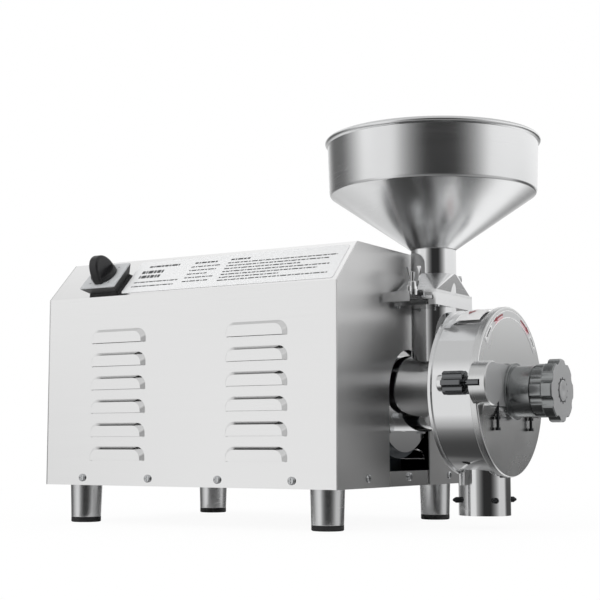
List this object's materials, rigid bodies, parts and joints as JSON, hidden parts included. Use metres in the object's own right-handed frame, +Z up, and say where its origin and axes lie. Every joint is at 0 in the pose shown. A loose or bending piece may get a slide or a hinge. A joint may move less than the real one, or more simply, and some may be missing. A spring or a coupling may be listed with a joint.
{
  "type": "electric grain mill",
  "caption": "Bench-top stainless disc mill with a louvred motor casing, cone hopper, slide gate, swinging chamber cover, gap knob and bottom spout.",
  "frame": {"origin": "on the bench, under the middle of the whole machine", "axes": "+X along the shaft from the casing towards the grinding head, +Z up, -Y towards the switch side"},
  "size_m": [0.6048, 0.3544, 0.4419],
  "materials": {
    "casing_steel": "brushed",
    "polished_steel": "polished",
    "hopper_steel": "satin",
    "satin_steel": "satin",
    "bolt_steel": "polished",
    "machined_steel": "machined",
    "cast_iron": "machined",
    "motor_paint": "satin",
    "copper": "varnished",
    "rubber": "matte",
    "black_plastic": "moulded",
    "grey_plastic": "satin",
    "capacitor_grey": "satin"
  },
  "bodies": {
    "frame": {"base_tray": "casing_steel", "cable_gland": "black_plastic", "cam_switch": "black_plastic", "capacitor_clamps": "bolt_steel", "capacitors": "capacitor_grey", "casing_cover": "casing_steel", "casing_screws": "bolt_steel", "chamber_lugs": "polished_steel", "end_panel_front": "casing_steel", "end_panel_rear": "casing_steel", "fan_cowl": "motor_paint", "feed_bolts": "bolt_steel", "feed_housing": "polished_steel", "flange_screws": "bolt_steel", "foot_bolts": "bolt_steel", "foot_pads": "rubber", "foot_tubes": "polished_steel", "grinding_chamber": "polished_steel", "hinge_pin": "bolt_steel", "inlet_tube": "polished_steel", "motor_bearings": "machined_steel", "motor_bolts": "bolt_steel", "motor_cradle": "motor_paint", "motor_front_shield": "motor_paint", "motor_housing": "motor_paint", "motor_rear_shield": "motor_paint", "outlet_pins": "polished_steel", "outlet_spout": "polished_steel", "shaft_seal": "rubber", "stator_core": "machined_steel", "stator_windings": "copper", "switch_base": "black_plastic", "switch_plate": "grey_plastic", "upper_flange": "hopper_steel"},
    "rotor": {"motor_shaft": "machined_steel", "rotor_core": "machined_steel", "cooling_fan": "black_plastic", "feed_auger": "machined_steel", "rotating_carrier": "cast_iron", "rotating_disc": "cast_iron", "disc_nut": "bolt_steel"},
    "door": {"cover_disc": "satin_steel", "cover_gasket": "rubber", "clamp_arm": "satin_steel", "arm_bolts": "bolt_steel", "adjuster_hub": "satin_steel"},
    "lock": {"lock_screw": "satin_steel"},
    "adjuster": {"adjusting_knob": "satin_steel", "adjusting_spindle": "machined_steel", "knob_screw": "bolt_steel"},
    "fixed_disc": {"stationary_disc": "cast_iron", "stationary_carrier": "cast_iron"},
    "hopper": {"hopper_bowl": "hopper_steel", "hopper_rim": "hopper_steel", "hopper_neck": "polished_steel", "hopper_foot": "hopper_steel"},
    "wing_near": {"wing_nut_near": "polished_steel"},
    "wing_far": {"wing_nut_far": "polished_steel"},
    "gate": {"gate_plate": "hopper_steel"},
    "switch": {"switch_knob": "black_plastic"}
  },
  "joints": [
    {"name": "rotor_spin", "type": "hinge", "parent": "frame", "child": "rotor", "pos_m": [0.1826, 0.00519, 0.1495], "axis": [1, 0, 0], "continuous": true},
    {"name": "cover_swing", "type": "hinge", "parent": "frame", "child": "door", "pos_m": [0.2346, 0.11719, 0.1555], "axis": [0, 0, 1], "range_deg": [0, 110]},
    {"name": "lock_turn", "type": "hinge", "parent": "door", "child": "lock", "pos_m": [0.2096, -0.09881, 0.1555], "axis": [1, 0, 0], "continuous": true},
    {"name": "gap_knob", "type": "hinge", "parent": "door", "child": "adjuster", "pos_m": [0.3, 0.00519, 0.1495], "axis": [1, 0, 0], "range_deg": [-90, 540]},
    {"name": "disc_slide", "type": "slide", "parent": "door", "child": "fixed_disc", "axis": [1, 0, 0], "range_m": [-0.0006, 0.0032]},
    {"name": "hopper_lift", "type": "slide", "parent": "frame", "child": "hopper", "axis": [0, 0, 1], "range_m": [0, 0.06]},
    {"name": "wing_near_turn", "type": "hinge", "parent": "hopper", "child": "wing_near", "pos_m": [0.1476, -0.04881, 0.26], "axis": [0, 0, 1], "continuous": true},
    {"name": "wing_far_turn", "type": "hinge", "parent": "hopper", "child": "wing_far", "pos_m": [0.1476, 0.05919, 0.26], "axis": [0, 0, 1], "continuous": true},
    {"name": "gate_pull", "type": "slide", "parent": "frame", "child": "gate", "axis": [0, -1, 0], "range_m": [0, 0.046]},
    {"name": "switch_turn", "type": "hinge", "parent": "frame", "child": "switch", "pos_m": [-0.2059, -0.14502, 0.28165], "axis": [0, -0.7147, 0.6995], "range_deg": [0, 90]}
  ],
  "couplings": [
    {"joint": "disc_slide", "follows": "gap_knob", "m_per_rad": 0.00031831}
  ]
}
